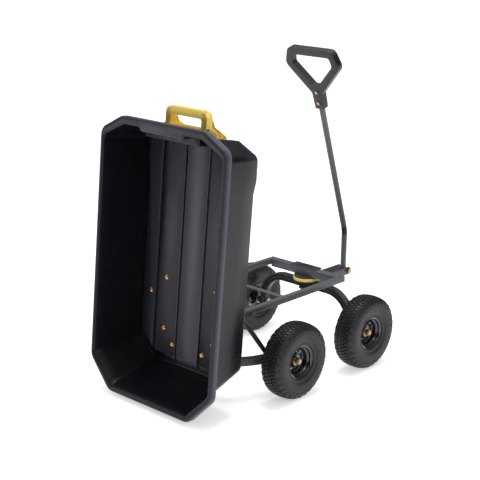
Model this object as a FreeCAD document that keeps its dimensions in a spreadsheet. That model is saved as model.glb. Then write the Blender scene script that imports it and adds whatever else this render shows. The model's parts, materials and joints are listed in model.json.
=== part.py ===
import FreeCAD, Part
import math
import os
import Sketcher

# Four-wheeled garden dump cart, millimetres, +Z up.
# X points forward to the pulling handle, Y to the left, and the origin lies on the
# ground under the middle of the rear axle.  The bed is drawn lowered in its own frame
# about the hinge line and is placed tipped up behind the chassis.

DIMENSIONS = (
    ("wheel_base", 369.0),
    ("track_half", 267.5),
    ("tyre_radius", 130.0),
    ("tyre_half", 42.5),
    ("tyre_wall", 8.0),
    ("rim_flange_radius", 65.0),
    ("rim_half", 32.0),
    ("bead_radius", 52.0),
    ("rim_sheet", 2.5),
    ("rim_bolt_circle", 34.0),
    ("rim_bolt_radius", 3.0),
    ("hub_radius", 17.0),
    ("bearing_radius", 14.0),
    ("bearing_width", 11.0),
    ("hub_inboard", 34.0),
    ("hub_outboard", 10.0),
    ("axle_radius", 8.0),
    ("running_gap", 0.05),
    ("frame_top", 309.0),
    ("frame_half", 171.0),
    ("frame_front", 376.0),
    ("rail_rear", -172.0),
    ("rail_height", 20.0),
    ("rail_width", 18.0),
    ("tube_wall", 2.0),
    ("crossbar_width", 29.0),
    ("crossbar_depth", 28.0),
    ("arch_top", 260.0),
    ("arch_depth", 28.0),
    ("arch_width", 24.0),
    ("arch_corner", 114.0),
    ("front_leg_outer", 219.0),
    ("rear_leg_outer", 212.0),
    ("hoop_centre", -7.8),
    ("disc_radius", 48.0),
    ("disc_height", 10.0),
    ("kingpin_radius", 6.0),
    ("tongue_half", 25.0),
    ("tongue_plate", 4.0),
    ("pivot_x", 577.0),
    ("pivot_z", 250.0),
    ("pivot_bolt_radius", 5.0),
    ("handle_radius", 10.5),
    ("handle_bend_height", 152.0),
    ("handle_lean", 16.7),
    ("grip_half", 121.0),
    ("grip_depth", 24.0),
    ("hinge_x", -189.3),
    ("hinge_z", 297.0),
    ("hinge_pin_radius", 4.0),
    ("tip_angle", 84.25),
    ("bed_clearance", 15.0),
    ("bed_depth", 186.0),
    ("bed_wall", 4.0),
            ("skirt_depth", 25.0),
    ("skirt_wall", 3.5),
    ("hinge_to_middle", 158.0),
    ("bracket_plate", 3.0),
    ("bed_bolt_radius", 4.0),
)

doc = FreeCAD.newDocument("garden_cart")
sheet = doc.addObject("Spreadsheet::Sheet", "dims")
for row, (alias, number) in enumerate(DIMENSIONS, start=1):
    sheet.set("A%d" % row, alias)
    sheet.set("B%d" % row, str(number))
    sheet.setAlias("B%d" % row, alias)
doc.recompute()

V = FreeCAD.Vector
X_AXIS, Y_AXIS, Z_AXIS = V(1, 0, 0), V(0, 1, 0), V(0, 0, 1)
SIDES = (("left", 1), ("right", -1))
NODES = []


def dim(alias):
    """Return one driving dimension from the sheet."""
    return float(sheet.get(alias))


def at(x=0.0, y=0.0, z=0.0, axis=Z_AXIS, angle=0.0):
    """Return a placement from a position and one turn."""
    return FreeCAD.Placement(V(x, y, z), FreeCAD.Rotation(axis, angle))


def along_y(x, y, z):
    """Return a placement that lays a cylinder along +Y."""
    return at(x, y, z, X_AXIS, -90)


def along_x(x, y, z):
    """Return a placement that lays a cylinder along +X."""
    return at(x, y, z, Y_AXIS, 90)


def add(kind, placement, **sizes):
    """Add one Part primitive whose sizes are expressions on the sheet."""
    primitive = doc.addObject("Part::" + kind, kind)
    for size, text in sizes.items():
        primitive.setExpression(size, str(text))
    primitive.Placement = placement
    return primitive


def box(x, y, z, length, width, height):
    """Add a box from its lowest corner; its sizes are expressions."""
    return add("Box", at(x, y, z), Length=length, Width=width, Height=height)


def rod(placement, radius, height):
    """Add a cylinder; its sizes are expressions."""
    return add("Cylinder", placement, Radius=radius, Height=height)


def hexagon(placement, across_corners, height):
    """Add a hexagonal prism for a bolt head or a nut."""
    return add("Prism", placement, Polygon=6, Circumradius=across_corners, Height=height)


def fuse(*shapes):
    """Join shapes into one."""
    if len(shapes) == 1:
        return shapes[0]
    joined = doc.addObject("Part::MultiFuse", "Fuse")
    joined.Shapes = list(shapes)
    return joined


def cut(base, *tools):
    """Cut tools out of a base."""
    result = doc.addObject("Part::Cut", "Cut")
    result.Base = base
    result.Tool = fuse(*tools)
    return result


def group(*shapes):
    """Keep separate solids together in one compound."""
    compound = doc.addObject("Part::Compound", "Group")
    compound.Links = list(shapes)
    return compound


def node(label, shape, placement=None):
    """Name a finished sub-part, and place it when a placement is given."""
    shape.Label = label
    if placement is not None:
        shape.Placement = placement.multiply(shape.Placement)
    NODES.append(shape)
    return shape


def rounded_outline(points):
    """Return the edges of a closed outline; each point is x, y and an optional corner radius."""
    corners = []
    count = len(points)
    for index, point in enumerate(points):
        here = V(point[0], point[1], 0)
        radius = point[2] if len(point) > 2 else 0.0
        before = V(points[index - 1][0], points[index - 1][1], 0) - here
        after = V(points[(index + 1) % count][0], points[(index + 1) % count][1], 0) - here
        if radius == 0.0:
            corners.append((here, here, None))
            continue
        half_turn = before.getAngle(after) / 2
        reach = radius / math.tan(half_turn)
        start = here + before.normalize() * reach
        end = here + after.normalize() * reach
        middle_ray = (before + after).normalize()
        centre = here + middle_ray * (radius / math.sin(half_turn))
        corners.append((start, end, centre - middle_ray * radius))
    edges = []
    for index, (start, end, middle) in enumerate(corners):
        previous_end = corners[index - 1][1]
        if previous_end.distanceToPoint(start) > 1e-6:
            edges.append(Part.LineSegment(previous_end, start))
        if middle is not None:
            edges.append(Part.Arc(start, middle, end))
    return edges


def draw(body, loops, height=0.0):
    """Draw closed loops in a sketch on the body's own XY plane; a circle is (x, y, radius)."""
    plane = [item for item in body.Origin.OriginFeatures if item.Role == "XY_Plane"][0]
    sketch = body.newObject("Sketcher::SketchObject", "Sketch")
    sketch.AttachmentSupport = [(plane, "")]
    sketch.MapMode = "FlatFace"
    sketch.AttachmentOffset = at(z=height)
    for loop in loops:
        if isinstance(loop[0], (int, float)):
            sketch.addGeometry(Part.Circle(V(loop[0], loop[1], 0), Z_AXIS, loop[2]), False)
        else:
            sketch.addGeometry(rounded_outline(loop), False)
    return sketch


def padded(loops, thickness, placement=None, middle=False):
    """Make a body by padding closed loops; the thickness is an expression."""
    body = doc.addObject("PartDesign::Body", "Body")
    sketch = draw(body, loops)
    pad = body.newObject("PartDesign::Pad", "Pad")
    pad.Profile = sketch
    pad.Midplane = middle
    pad.setExpression("Length", str(thickness))
    if placement is not None:
        body.Placement = placement
    return body


def turned(outline, placement=None):
    """Make a body by turning an outline of (offset along the axis, radius) about the Y axis."""
    body = doc.addObject("PartDesign::Body", "Body")
    sketch = draw(body, [[(radius, offset) + tuple(rest) for offset, radius, *rest in outline]])
    turn = body.newObject("PartDesign::Revolution", "Revolution")
    turn.Profile = sketch
    turn.ReferenceAxis = (sketch, ["V_Axis"])
    turn.Angle = 360
    if placement is not None:
        body.Placement = placement
    return body


# Placements that stand a flat outline up: outline x, y become world X, Z or world Y, Z.
FACING_Y = FreeCAD.Rotation(X_AXIS, 90)
FACING_X = FreeCAD.Rotation(V(1, 1, 1), 120)


def standing_y(y):
    """Stand an outline in the XZ plane, padded towards -Y from the given y."""
    return FreeCAD.Placement(V(0, y, 0), FACING_Y)


def standing_x(x):
    """Stand an outline in the YZ plane, padded towards +X from the given x."""
    return FreeCAD.Placement(V(x, 0, 0), FACING_X)


def y_span(low, high):
    """Return the placement and thickness that pad an XZ outline between two y values."""
    return standing_y(high), high - low


# ---- chassis ----

def frame_rails():
    """Two rectangular tubes along the sides of the chassis."""
    length = "dims.frame_front - dims.rail_rear"
    for side, sign in SIDES:
        low_y = dim("frame_half") - dim("rail_width") if sign > 0 else -dim("frame_half")
        bottom = dim("frame_top") - dim("rail_height")
        outer = box(dim("rail_rear"), low_y, bottom, length, "dims.rail_width", "dims.rail_height")
        wall = dim("tube_wall")
        hollow = box(
            dim("rail_rear") - 1, low_y + wall, bottom + wall, length + " + 2",
            "dims.rail_width - 2 * dims.tube_wall", "dims.rail_height - 2 * dims.tube_wall")
        bolts = [rod(along_y(x, low_y - 1, z), radius, "dims.rail_width + 2")
                 for x, z, radius in RAIL_BOLTS]
        node("frame_rail_" + side, cut(outer, hollow, *bolts))


REAR_CROSSBAR_X = -104.0
REAR_CROSSBAR_Z = 291.0
STRUT_TOP = (-158.0, 296.0)
STRUT_FOOT = (-31.0, 130.0)
STRUT_THICKNESS = 5.0
EAR_THICKNESS = 5.0
SMALL_BOLT = 3.0
STRUT_BOLT = 4.0
RAIL_BOLTS = ((REAR_CROSSBAR_X, 295.0, SMALL_BOLT), (STRUT_TOP[0], STRUT_TOP[1], STRUT_BOLT))


def front_crossbar():
    """Inverted channel that joins the rails over the front axle."""
    inner_half = dim("frame_half") - dim("rail_width")
    rear = dim("frame_front") - dim("crossbar_width")
    top = dim("frame_top")
    span = "2 * (dims.frame_half - dims.rail_width)"
    sheet_metal = 3.0
    plate = box(rear, -inner_half, top - sheet_metal, "dims.crossbar_width", span, sheet_metal)
    rear_flange = box(rear, -inner_half, top - dim("crossbar_depth"), sheet_metal, span,
                      "dims.crossbar_depth")
    front_flange = box(dim("frame_front") - sheet_metal, -inner_half, top - dim("rail_height"),
                       sheet_metal, span, "dims.rail_height")
    node("front_crossbar", fuse(plate, rear_flange, front_flange))


def chassis_braces():
    """A flat bar across the middle and a low tube across the rear of the chassis."""
    inner_half = dim("frame_half") - dim("rail_width")
    span = "2 * (dims.frame_half - dims.rail_width)"
    bottom = dim("frame_top") - dim("rail_height")
    node("mid_brace", box(88, -inner_half, bottom, 20, span, 4))
    outer = box(REAR_CROSSBAR_X - 9, -inner_half, REAR_CROSSBAR_Z - 8, 18, span, 16)
    hollow = box(REAR_CROSSBAR_X - 7, -inner_half - 1, REAR_CROSSBAR_Z - 6, 14,
                 span + " + 2", 12)
    node("rear_crossbar", cut(outer, hollow))


PIVOT_PLATE = 7.0


def pivot_plate():
    """Round steel plate under the front crossbar that bears on the steering disc."""
    base = dim("frame_top") - dim("crossbar_depth") - PIVOT_PLATE
    x = dim("wheel_base")
    plate = rod(at(x, 0, base), "dims.disc_radius - 3", PIVOT_PLATE)
    hole = rod(at(x, 0, base - 1), "dims.kingpin_radius", PIVOT_PLATE + 2)
    node("pivot_plate", cut(plate, hole))


def latch_plate():
    """Strike plate on the front crossbar for the release catch of the bed."""
    half = 60.0
    outline = [(-28, -half, 3), (11, -half, 5), (11, half, 5), (-28, half, 3)]
    slot = [(2, -22, 2), (7, -22, 2), (7, 22, 2), (2, 22, 2)]
    node("latch_plate", padded([outline, slot], 2.5, at(dim("frame_front"), 0, dim("frame_top"))))


def hinge_ears():
    """Steel ears on the outer faces of the rails that carry the bed's hinge bolts."""
    hinge_x, hinge_z = dim("hinge_x"), dim("hinge_z")
    end = 11.0
    outline = [
        (hinge_x - end, hinge_z + end, end - 0.5), (-92, hinge_z + end, 3),
        (-92, 288, 5), (-156, 284, 10), (hinge_x - end, hinge_z - end, end - 0.5)]
    holes = [(hinge_x, hinge_z, dim("hinge_pin_radius"))]
    holes += [(x, z, radius) for x, z, radius in RAIL_BOLTS]
    for side, sign in SIDES:
        low = dim("frame_half") if sign > 0 else -dim("frame_half") - EAR_THICKNESS
        placement, thickness = y_span(low, low + EAR_THICKNESS)
        node("hinge_ear_" + side, padded([outline] + [hole for hole in holes], thickness, placement))


def rear_axle_hoop():
    """Flat hoop behind the rear wheels' axle line; the tipped bed rests against it."""
    outer = dim("rear_leg_outer")
    inner = outer - dim("arch_depth")
    middle = dim("hoop_centre")
    toe = 16.0
    outline = [
        (toe, -outer, 4), (middle - outer, -outer, outer), (middle - outer, outer, outer),
        (toe, outer, 4), (toe, inner, 4), (middle - inner, inner, inner),
        (middle - inner, -inner, inner), (toe, -inner, 4)]
    height = dim("arch_width")
    band = padded([outline], "dims.arch_width", at(0, 0, dim("tyre_radius") - height / 2))
    cutters = []
    landing = dim("frame_half") + EAR_THICKNESS + STRUT_THICKNESS + 0.3
    for _, sign in SIDES:
        low = inner - 8 if sign > 0 else -outer - 8
        cutters.append(rod(along_y(0, low, dim("tyre_radius")), "dims.axle_radius",
                           "dims.arch_depth + 16"))
        cutters.append(rod(along_y(STRUT_FOOT[0], low, STRUT_FOOT[1]), STRUT_BOLT,
                           "dims.arch_depth + 16"))
        seat_y = landing - 20 if sign > 0 else -landing
        cutters.append(box(STRUT_FOOT[0] - 33, seat_y, STRUT_FOOT[1] - 20, 46, 20, 40))
    node("rear_axle_hoop", cut(band, *cutters))


def axle_struts():
    """Flat braces from the rear ends of the rails down to the rear axle hoop."""
    run = V(STRUT_FOOT[0] - STRUT_TOP[0], STRUT_FOOT[1] - STRUT_TOP[1], 0)
    length = run.Length
    half, eye = 8.0, 9.0
    outline = [(-eye, -half, 7.5), (length + eye, -half, 7.5), (length + eye, half, 7.5),
               (-eye, half, 7.5)]
    holes = [(0, 0, STRUT_BOLT), (length, 0, STRUT_BOLT)]
    slope = math.degrees(math.atan2(run.y, run.x))
    for side, sign in SIDES:
        low = dim("frame_half") + EAR_THICKNESS
        if sign < 0:
            low = -low - STRUT_THICKNESS
        turn = FACING_Y.multiply(FreeCAD.Rotation(Z_AXIS, slope))
        place = FreeCAD.Placement(V(STRUT_TOP[0], low + STRUT_THICKNESS, STRUT_TOP[1]), turn)
        node("axle_strut_" + side, padded([outline] + holes, STRUT_THICKNESS, place))


def axle_pin(x, leg_outer, leg_inner, sign):
    """One stub axle: hexagon head inside the leg, shoulder, and shank through the hub."""
    height = dim("tyre_radius")
    shoulder_end = dim("track_half") - dim("hub_inboard") - 0.3
    shank_end = dim("track_half") + 27
    if sign > 0:
        head = hexagon(along_y(x, leg_inner - 6, height), 13, 6)
        shoulder = rod(along_y(x, leg_outer, height), 12, shoulder_end - leg_outer)
        shank = rod(along_y(x, leg_inner, height), "dims.axle_radius", shank_end - leg_inner)
    else:
        head = hexagon(along_y(x, -leg_inner, height), 13, 6)
        shoulder = rod(along_y(x, -shoulder_end, height), 12, shoulder_end - leg_outer)
        shank = rod(along_y(x, -shank_end, height), "dims.axle_radius", shank_end - leg_inner)
    return fuse(head, shoulder, shank)


def axle_nut(x, sign):
    """One washer, castle nut and split pin on the outer end of a stub axle."""
    height = dim("tyre_radius")
    start = dim("track_half") + dim("hub_outboard") + 0.3
    washer_thickness, nut_thickness = 2.0, 11.0
    low_washer = start if sign > 0 else -start - washer_thickness
    low_nut = start + washer_thickness if sign > 0 else -start - washer_thickness - nut_thickness
    washer = rod(along_y(x, low_washer, height), 15, washer_thickness)
    nut = hexagon(along_y(x, low_nut, height), 13.5, nut_thickness)
    bore = rod(along_y(x, min(low_washer, low_nut) - 1, height), "dims.axle_radius", 16)
    return cut(fuse(washer, nut), bore)


def rear_axle_hardware():
    """Stub axles and nuts of the rear wheels."""
    outer = dim("rear_leg_outer")
    inner = outer - dim("arch_depth")
    node("rear_axle_pins", group(*[axle_pin(0, outer, inner, sign) for _, sign in SIDES]))
    node("rear_axle_nuts", group(*[axle_nut(0, sign) for _, sign in SIDES]))


def bolt_through_y(x, z, low, high, radius, head_low):
    """One bolt along Y between two y values, with a head at one end and a nut at the other."""
    shank = rod(along_y(x, low, z), radius, high - low)
    ends = []
    for y in (low - 1.6 * radius, high):
        ends.append(hexagon(along_y(x, y, z), 1.9 * radius, 1.6 * radius))
    return fuse(shank, *ends) if head_low else fuse(shank, ends[0])


def frame_bolts():
    """Bolts of the rear crossbar, the hinge ears and the struts."""
    bolts = []
    outer, inner = dim("frame_half") + EAR_THICKNESS, dim("frame_half") - dim("rail_width")
    strut_outer = outer + STRUT_THICKNESS
    leg_outer = dim("rear_leg_outer")
    crossbar_bolt, strut_bolt = RAIL_BOLTS
    for _, sign in SIDES:
        spans = ((crossbar_bolt[0], crossbar_bolt[1], dim("frame_half") - 10, outer, SMALL_BOLT),
                 (strut_bolt[0], strut_bolt[1], inner, strut_outer, STRUT_BOLT),
                 (STRUT_FOOT[0], STRUT_FOOT[1], outer, leg_outer, STRUT_BOLT))
        for x, z, near, far, radius in spans:
            low, high = (near, far) if sign > 0 else (-far, -near)
            if radius == SMALL_BOLT:
                shank = rod(along_y(x, low, z), radius, high - low)
                head_y = high if sign > 0 else low - 4
                bolts.append(fuse(shank, hexagon(along_y(x, head_y, z), 6, 4)))
            else:
                bolts.append(bolt_through_y(x, z, low, high, radius, True))
    node("frame_bolts", group(*bolts))


def kingpin_parts():
    """Vertical bolt that the front axle steers about, with its washer and nut."""
    x = dim("wheel_base")
    plate_top = dim("frame_top") - dim("crossbar_depth")
    arch_bottom = dim("arch_top") - dim("arch_depth")
    foot = arch_bottom - 18
    head = hexagon(at(x, 0, plate_top), 10.5, 8)
    shank = rod(at(x, 0, foot), "dims.kingpin_radius", plate_top - foot)
    node("kingpin", fuse(head, shank))
    gap, washer = 0.3, 3.0
    plate = rod(at(x, 0, arch_bottom - gap - washer), 28, washer)
    nut = hexagon(at(x, 0, arch_bottom - gap - washer - 10), 10.5, 10)
    bore = rod(at(x, 0, foot - 1), "dims.kingpin_radius", 30)
    node("kingpin_nut", cut(fuse(plate, nut), bore))


# ---- front axle ----

def front_axle_arch():
    """Arched channel that carries the front wheels, open on its inner side."""
    outer, top = dim("front_leg_outer"), dim("arch_top")
    depth, corner = dim("arch_depth"), dim("arch_corner")
    foot = dim("tyre_radius") - 16
    inner, under = outer - depth, top - depth
    outline = [
        (-outer, foot, 4), (-outer, top, corner), (outer, top, corner), (outer, foot, 4),
        (inner, foot, 4), (inner, under, corner - depth), (-inner, under, corner - depth),
        (-inner, foot, 4)]
    x = dim("wheel_base")
    width = dim("arch_width")
    band = padded([outline], "dims.arch_width", standing_x(x - width / 2))
    skin, solid_foot, solid_middle = 4.0, dim("tyre_radius") + 11, 24.0
    cutters = []
    for _, sign in SIDES:
        cavity = [
            (sign * (outer - skin), solid_foot), (sign * (outer - skin), top - skin, corner - skin),
            (sign * solid_middle, top - skin), (sign * solid_middle, under - 6),
            (sign * (inner - 6), under - 6, corner - depth - 6), (sign * (inner - 6), solid_foot)]
        cutters.append(padded([cavity], "dims.arch_width - 8", standing_x(x - width / 2 + 4)))
        low = inner - 1 if sign > 0 else -outer - 1
        cutters.append(rod(along_y(x, low, dim("tyre_radius")), "dims.axle_radius",
                           "dims.arch_depth + 2"))
    cutters.append(rod(at(x, 0, under - 1), "dims.kingpin_radius + 3", "dims.arch_depth + 2"))
    node("front_axle_arch", cut(band, *cutters))


def kingpin_bush():
    """Nylon bush between the kingpin and the arch."""
    x = dim("wheel_base")
    low = dim("arch_top") - dim("arch_depth")
    length = "dims.arch_depth + dims.tongue_plate"
    sleeve = rod(at(x, 0, low), "dims.kingpin_radius + 3", length)
    bore = rod(at(x, 0, low - 1), "dims.kingpin_radius + dims.running_gap", length + " + 2")
    node("kingpin_bush", cut(sleeve, bore))


def steering_disc():
    """Thick plastic wear disc between the turntable of the tongue and the pivot plate."""
    x = dim("wheel_base")
    base = dim("arch_top") + dim("tongue_plate")
    disc = rod(at(x, 0, base), "dims.disc_radius", "dims.disc_height")
    bore = rod(at(x, 0, base - 1), "dims.kingpin_radius + dims.running_gap",
               "dims.disc_height + 2")
    node("steering_disc", cut(disc, bore))


def tongue():
    """Channel from the turntable over the arch to the fork that holds the handle."""
    x, half = dim("wheel_base"), dim("tongue_half")
    top, sheet_metal = dim("arch_top"), dim("tongue_plate")
    pivot_x, pivot_z = dim("pivot_x"), dim("pivot_z")
    plate_end = pivot_x - dim("handle_radius") - 0.3
    turntable = rod(at(x, 0, top), "dims.disc_radius", "dims.tongue_plate")
    strip = box(x, -half, top, plate_end - x, "2 * dims.tongue_half", "dims.tongue_plate")
    cheeks = []
    cheek_start = x + dim("arch_width") / 2
    end = 15.0
    outline = [
        (cheek_start, top + sheet_metal), (pivot_x + end, top + sheet_metal, end - 1),
        (pivot_x + end, pivot_z - end, end - 1), (pivot_x - 40, pivot_z - end, 8),
        (cheek_start, top - 24, 3)]
    hole = (pivot_x, pivot_z, dim("pivot_bolt_radius"))
    for _, sign in SIDES:
        low = half - sheet_metal if sign > 0 else -half
        placement, thickness = y_span(low, low + sheet_metal)
        cheeks.append(padded([outline, hole], thickness, placement))
    bore = rod(at(x, 0, top - 1), "dims.kingpin_radius + 3", sheet_metal + 2)
    node("tongue", cut(fuse(turntable, strip, *cheeks), bore))


def front_axle_hardware():
    """Stub axles, nuts and the fork's bolt on the front axle."""
    x, outer = dim("wheel_base"), dim("front_leg_outer")
    inner = outer - dim("arch_depth")
    node("front_axle_pins", group(*[axle_pin(x, outer, inner, sign) for _, sign in SIDES]))
    node("front_axle_nuts", group(*[axle_nut(x, sign) for _, sign in SIDES]))
    half = dim("tongue_half")
    bolt = bolt_through_y(dim("pivot_x"), dim("pivot_z"), -half, half,
                          dim("pivot_bolt_radius"), True)
    node("handle_pivot_bolt", bolt)


# ---- pulling handle ----

def handle_axis_point(distance):
    """Return x and z of a point on the leaning part of the handle, measured from its bend."""
    lean = math.radians(dim("handle_lean"))
    bend_z = dim("pivot_z") + dim("handle_bend_height")
    return dim("pivot_x") + 3 - distance * math.sin(lean), bend_z + distance * math.cos(lean)


TUBE_END = 574.0
GRIP_NECK = 497.0


def handle_tube():
    """Round tube: upright from the fork, one bend, then leaning back to the grip."""
    foot = V(dim("pivot_x"), 0, dim("pivot_z"))
    bend_x, bend_z = handle_axis_point(0)
    top_x, top_z = handle_axis_point(TUBE_END)
    bend, top = V(bend_x, 0, bend_z), V(top_x, 0, top_z)
    bend_radius = 120.0
    down, up = (foot - bend).normalize(), (top - bend).normalize()
    half_turn = down.getAngle(up) / 2
    reach = bend_radius / math.tan(half_turn)
    start, end = bend + down * reach, bend + up * reach
    ray = (down + up).normalize()
    middle = bend + ray * (bend_radius / math.sin(half_turn) - bend_radius)
    path = Part.Wire([
        Part.LineSegment(foot, start).toShape(), Part.Arc(start, middle, end).toShape(),
        Part.LineSegment(end, top).toShape()])
    radius = dim("handle_radius")
    direction = start - foot
    outer = path.makePipeShell([Part.Wire(Part.makeCircle(radius, foot, direction))], True, False)
    bore = path.makePipeShell([Part.Wire(Part.makeCircle(radius - 2, foot, direction))], True, False)
    tube = doc.addObject("Part::Feature", "Tube")
    tube.Shape = outer.cut(bore)
    sleeve = rod(along_y(foot.x, -40, foot.z), "dims.handle_radius", 80)
    below = box(foot.x - 20, -20, foot.z - 30, 40, 40, 30)
    node("handle_tube", cut(tube, sleeve, below))


def handle_pivot_sleeve():
    """Cross sleeve welded to the foot of the tube; the fork's bolt runs through it."""
    x, z = dim("pivot_x"), dim("pivot_z")
    inner_half = dim("tongue_half") - dim("tongue_plate") - 0.3
    length = 2 * inner_half
    sleeve = rod(along_y(x, -inner_half, z), "dims.handle_radius", length)
    bore = rod(along_y(x, -inner_half - 1, z), "dims.pivot_bolt_radius + dims.running_gap",
               length + 2)
    node("handle_pivot_sleeve", cut(sleeve, bore))


GRIP_BOLTS = (519.0, 560.0)


def handle_grip():
    """D-shaped plastic grip with a socket over the top of the tube."""
    half, depth = dim("grip_half"), dim("grip_depth")
    neck, root, shoulder, top = GRIP_NECK, 562.0, 660.0, 722.0
    bar = 27.0
    outline = [
        (neck, -21, 4), (root - 6, -24, 10), (shoulder, -half, 26), (top, -half + 22, 22),
        (top, half - 22, 22), (shoulder, half, 26), (root - 6, 24, 10), (neck, 21, 4)]
    window = [
        (root + 22, -14, 8), (shoulder + 2, -half + 30, 10), (top - bar, -half + 40, 10),
        (top - bar, half - 40, 10), (shoulder + 2, half - 30, 10), (root + 22, 14, 8)]
    base_x, base_z = handle_axis_point(0)
    lean = FreeCAD.Rotation(Y_AXIS, -dim("handle_lean"))
    flat = lean.multiply(FreeCAD.Rotation(V(0, 1, 0), -90))
    ray_x, ray_z = handle_axis_point(1)
    axis = V(ray_x - base_x, 0, ray_z - base_z)
    front = V(axis.z, 0, -axis.x)
    offset = V(base_x, 0, base_z) + front * (depth / 2)
    body = padded([outline, window], "dims.grip_depth", FreeCAD.Placement(offset, flat))
    foot_x, foot_z = handle_axis_point(GRIP_NECK - 1)
    socket = rod(FreeCAD.Placement(V(foot_x, 0, foot_z), lean), "dims.handle_radius",
                 TUBE_END - GRIP_NECK + 1)
    drills = [rod(across_handle(distance, -depth), 3, 2 * depth) for distance in GRIP_BOLTS]
    node("handle_grip", cut(body, socket, *drills))


def across_handle(distance, offset):
    """Placement on the handle's axis, with +Z along its front direction and shifted that way."""
    lean = FreeCAD.Rotation(Y_AXIS, -dim("handle_lean"))
    x, z = handle_axis_point(distance)
    place = FreeCAD.Placement(V(x, 0, z), lean.multiply(FreeCAD.Rotation(Y_AXIS, 90)))
    return place.multiply(at(z=offset))


def drill_tube_and_bolt_grip():
    """Two bolts through the neck of the grip; the tube is drilled for them."""
    bolts = []
    half = dim("grip_depth") / 2
    for distance in GRIP_BOLTS:
        shank = rod(across_handle(distance, -half), 3, 2 * half)
        head = hexagon(across_handle(distance, -half - 4), 6.4, 4)
        nut = hexagon(across_handle(distance, half), 6.4, 4)
        bolts.append(fuse(shank, head, nut))
    drills = [rod(across_handle(distance, -20), 3, 40) for distance in GRIP_BOLTS]
    tube = [item for item in NODES if item.Label == "handle_tube"][0]
    NODES.remove(tube)
    tube.Label = "handle_tube_blank"
    node("handle_tube", cut(tube, *drills))
    node("grip_bolts", group(*bolts))


# ---- bed: drawn lowered about the hinge line, then tipped ----

def bed_x(distance):
    """Turn a distance ahead of the bed's middle into the hinge frame."""
    return distance + dim("hinge_to_middle")


def bed_z(height):
    """Turn a height over the rim plane (negative is deeper) into the hinge frame."""
    return height + dim("bed_depth") + dim("bed_clearance")


def tipped():
    """Placement of everything that moves with the tipped bed."""
    return at(dim("hinge_x"), 0, dim("hinge_z"), Y_AXIS, -dim("tip_angle"))


def mirrored(half_outline):
    """Close an outline that is given for +Y only, from front to rear."""
    other = [(x, -y) for x, y in reversed(half_outline)]
    return [(bed_x(x), y) for x, y in list(half_outline) + other]


BED_BOTTOM = ((418, 160), (380, 244), (306, 244), (262, 236), (-306, 236), (-372, 166))
BED_TOP = ((436, 176), (390, 274), (306, 274), (262, 274), (-352, 274), (-445, 178))
RIM_OUTER = ((458, 191), (409, 285), (-364, 285), (-461, 189))
RIM_INNER = ((419, 92), (432, 99), (432, 174), (387, 270), (-350, 270), (-441, 176))
FLOOR_BOLTS = ((-78, 116), (-138, 188), (-254, 116), (-302, 71))
WALL_BOLTS = (-108.0, -35.0, 35.0, 108.0)
WALL_BOLT_HEIGHT = -80.0


RECESS_DEPTH = 401.0
RECESS_HALF = 126.0
RECESS_TOP = -50.0


def shrink(outline, amount):
    """Move every corner of a half outline inwards by about the wall's thickness."""
    return [(x - math.copysign(amount, x), y - amount) for x, y in outline]


def front_wall_x(height):
    """Outer face of the front wall at a height over the rim plane."""
    low, high = BED_BOTTOM[0][0], BED_TOP[0][0]
    return high + (high - low) * height / dim("bed_depth")


def loft(body, kind, lower, lower_z, upper, upper_z):
    """Add or subtract a ruled loft between two outlines of the bed."""
    feature = body.newObject("PartDesign::" + kind, kind)
    feature.Profile = draw(body, [mirrored(lower)], lower_z)
    feature.Sections = [draw(body, [mirrored(upper)], upper_z)]
    feature.Ruled = True
    return feature


def ring(body, outer, inner, base, height):
    """Pad a ring of the bed between two outlines."""
    pad = body.newObject("PartDesign::Pad", "Pad")
    pad.Profile = draw(body, [mirrored(outer), mirrored(inner)], base)
    pad.setExpression("Length", str(height))
    return pad


def front_recess():
    """Return the inner block and the outer pocket that set the release handle into the front wall."""
    wall, base = dim("bed_wall"), dim("bed_clearance")
    top = bed_z(RECESS_TOP)
    low_x = bed_x(RECESS_DEPTH)
    front = bed_x(front_wall_x(RECESS_TOP)) - 2
    outline = [(low_x - wall, base), (bed_x(BED_BOTTOM[0][0]) - 2, base), (front, top + wall, 2),
               (low_x - wall, top + wall, 8)]
    blister = padded([outline], 2 * (RECESS_HALF + wall), standing_y(RECESS_HALF + wall))
    recess = box(low_x, -RECESS_HALF, base - 1, 60, 2 * RECESS_HALF, top - base + 1)
    return blister, recess


def bed_tub():
    """Moulded tub with sloping walls, chamfered corners, a wide rim and a skirt."""
    wall, rim_z = dim("bed_wall"), bed_z(0)
    body = doc.addObject("PartDesign::Body", "Body")
    loft(body, "AdditiveLoft", BED_BOTTOM, dim("bed_clearance"), BED_TOP, rim_z - 2)
    ring(body, RIM_OUTER, RIM_INNER, rim_z - wall, "dims.bed_wall")
    ring(body, RIM_OUTER, shrink(RIM_OUTER, dim("skirt_wall")), rim_z - dim("skirt_depth"),
         "dims.skirt_depth - 1")
    loft(body, "SubtractiveLoft", shrink(BED_BOTTOM, wall), dim("bed_clearance") + wall,
         shrink(BED_TOP, wall), rim_z - wall)
    opening = body.newObject("PartDesign::Pocket", "Pocket")
    opening.Profile = draw(body, [mirrored(RIM_INNER)], rim_z - wall - 0.01)
    opening.Reversed = True
    opening.Length = 20
    blister, recess = front_recess()
    drills = [recess]
    for x, y in FLOOR_BOLTS:
        for sign in (1, -1):
            drills.append(rod(at(bed_x(x), sign * y, 0), "dims.bed_bolt_radius", 60))
    for y in WALL_BOLTS:
        drills.append(rod(along_x(bed_x(380), y, bed_z(WALL_BOLT_HEIGHT)), SMALL_BOLT, 80))
    node("bed_tub", cut(fuse(body, blister), *drills), tipped())


BRACKET_EAR_LOW = 176.3
BRACKET_EAR = 4.0


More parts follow.
